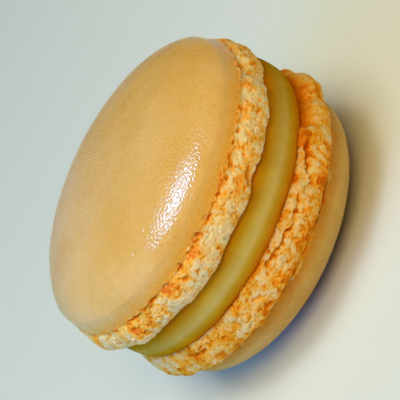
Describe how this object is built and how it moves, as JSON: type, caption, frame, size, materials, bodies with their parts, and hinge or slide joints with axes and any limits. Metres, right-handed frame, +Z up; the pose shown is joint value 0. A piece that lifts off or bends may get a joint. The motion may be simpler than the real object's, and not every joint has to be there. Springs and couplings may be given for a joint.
{
  "type": "french macaron",
  "caption": "Round sandwich biscuit: two domed almond meringue shells with ruffled feet around a soft layer of lemon filling.",
  "frame": {"origin": "middle of the macaron's footprint, on the surface that its lower shell rests on", "axes": "+Z up through both shells, across the layers; X and Y lie in the plane of the layers"},
  "size_m": [0.0444, 0.0444, 0.0298],
  "materials": {
    "upper_shell_meringue": "baked almond meringue with a smooth, faintly shiny skin and a crumbly foot",
    "lemon_filling": "soft lemon cream with a satin gloss",
    "lower_shell_meringue": "baked almond meringue with a smooth, faintly shiny skin and a crumbly foot"
  },
  "bodies": {
    "root": {"upper_shell": "upper_shell_meringue", "filling": "lemon_filling", "lower_shell": "lower_shell_meringue"}
  },
  "joints": []
}
